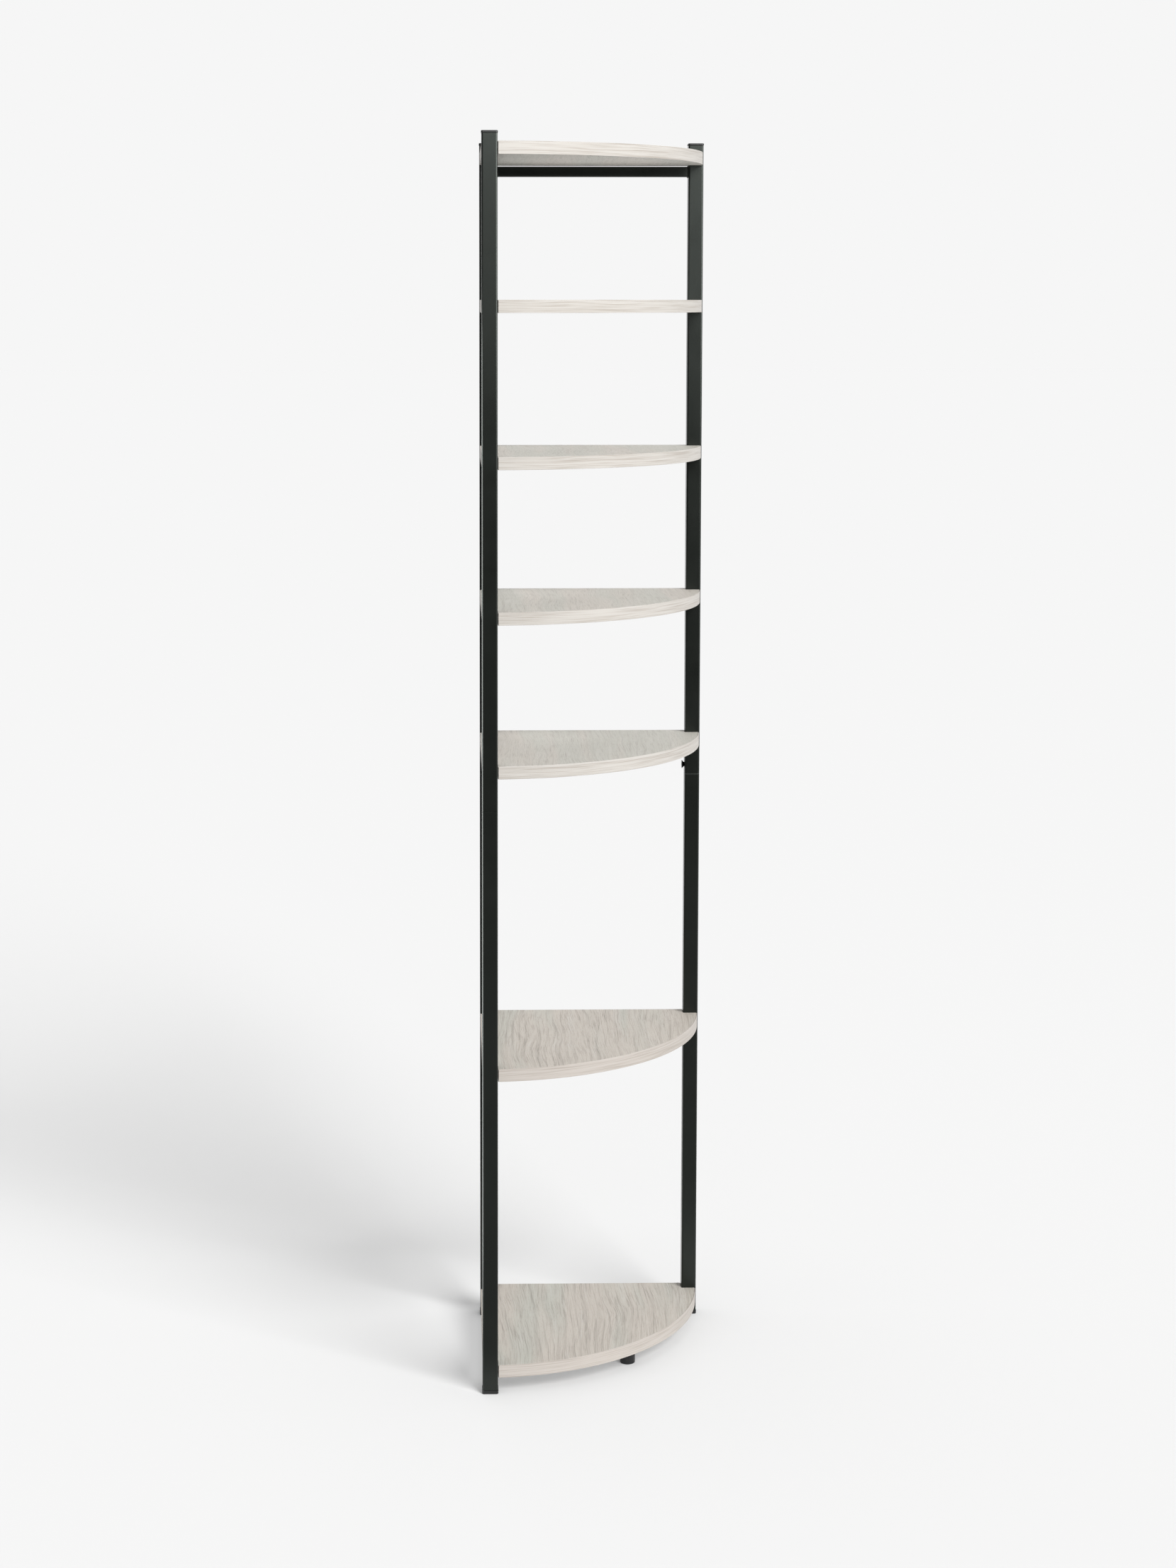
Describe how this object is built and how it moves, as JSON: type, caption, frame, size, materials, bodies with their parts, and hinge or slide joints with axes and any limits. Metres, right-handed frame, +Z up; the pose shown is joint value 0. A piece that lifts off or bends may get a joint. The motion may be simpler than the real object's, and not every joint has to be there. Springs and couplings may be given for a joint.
{
  "type": "shelving unit",
  "caption": "Tall corner shelving unit: quarter-round wood laminate shelves with two straight edges for the walls, carried by slim square black steel posts.",
  "frame": {"origin": "on the floor, midway between the posts' outer faces", "axes": "+Z up; +Y to the wall behind the back edge, -X to the wall at the left edge; the rounded edge faces -Y and +X"},
  "size_m": [0.3312, 0.3312, 1.7755],
  "materials": {
    "grey_oak_laminate": "matt pale grey oak laminate with long dark grain streaks",
    "grey_oak_edging": "matt oak-print edge strip, a little lighter than the boards",
    "black_powder_coat": "fine satin black powder coat",
    "black_plastic": "plain moulded black",
    "black_screw_steel": "blackened",
    "zinc_plated_steel": "bright zinc"
  },
  "bodies": {
    "root": {"corner_post_lower": "black_powder_coat", "corner_post_upper": "black_powder_coat", "front_post_lower": "black_powder_coat", "front_post_upper": "black_powder_coat", "right_post_lower": "black_powder_coat", "right_post_upper": "black_powder_coat", "back_rail": "black_powder_coat", "left_rail": "black_powder_coat", "corner_joint_sleeve": "zinc_plated_steel", "front_joint_sleeve": "zinc_plated_steel", "right_joint_sleeve": "zinc_plated_steel", "corner_joint_screw": "black_screw_steel", "front_joint_screw": "black_screw_steel", "right_joint_screw": "black_screw_steel", "corner_post_cap": "black_plastic", "front_post_cap": "black_plastic", "right_post_cap": "black_plastic", "corner_post_glide": "black_plastic", "front_post_glide": "black_plastic", "right_post_glide": "black_plastic", "centre_foot": "black_plastic", "centre_foot_screw": "zinc_plated_steel", "shelf_1_board": "grey_oak_laminate", "shelf_2_board": "grey_oak_laminate", "shelf_3_board": "grey_oak_laminate", "shelf_4_board": "grey_oak_laminate", "shelf_5_board": "grey_oak_laminate", "shelf_6_board": "grey_oak_laminate", "shelf_7_board": "grey_oak_laminate", "shelf_1_edge_band": "grey_oak_edging", "shelf_2_edge_band": "grey_oak_edging", "shelf_3_edge_band": "grey_oak_edging", "shelf_4_edge_band": "grey_oak_edging", "shelf_5_edge_band": "grey_oak_edging", "shelf_6_edge_band": "grey_oak_edging", "shelf_7_edge_band": "grey_oak_edging", "shelf_1_corner_screw": "zinc_plated_steel", "shelf_1_front_screw": "zinc_plated_steel", "shelf_1_right_screw": "zinc_plated_steel", "shelf_2_corner_screw": "zinc_plated_steel", "shelf_2_front_screw": "zinc_plated_steel", "shelf_2_right_screw": "zinc_plated_steel", "shelf_3_corner_screw": "zinc_plated_steel", "shelf_3_front_screw": "zinc_plated_steel", "shelf_3_right_screw": "zinc_plated_steel", "shelf_4_corner_screw": "zinc_plated_steel", "shelf_4_front_screw": "zinc_plated_steel", "shelf_4_right_screw": "zinc_plated_steel", "shelf_5_corner_screw": "zinc_plated_steel", "shelf_5_front_screw": "zinc_plated_steel", "shelf_5_right_screw": "zinc_plated_steel", "shelf_6_corner_screw": "zinc_plated_steel", "shelf_6_front_screw": "zinc_plated_steel", "shelf_6_right_screw": "zinc_plated_steel", "shelf_7_corner_screw": "zinc_plated_steel", "shelf_7_front_screw": "zinc_plated_steel", "shelf_7_right_screw": "zinc_plated_steel"}
  },
  "joints": []
}
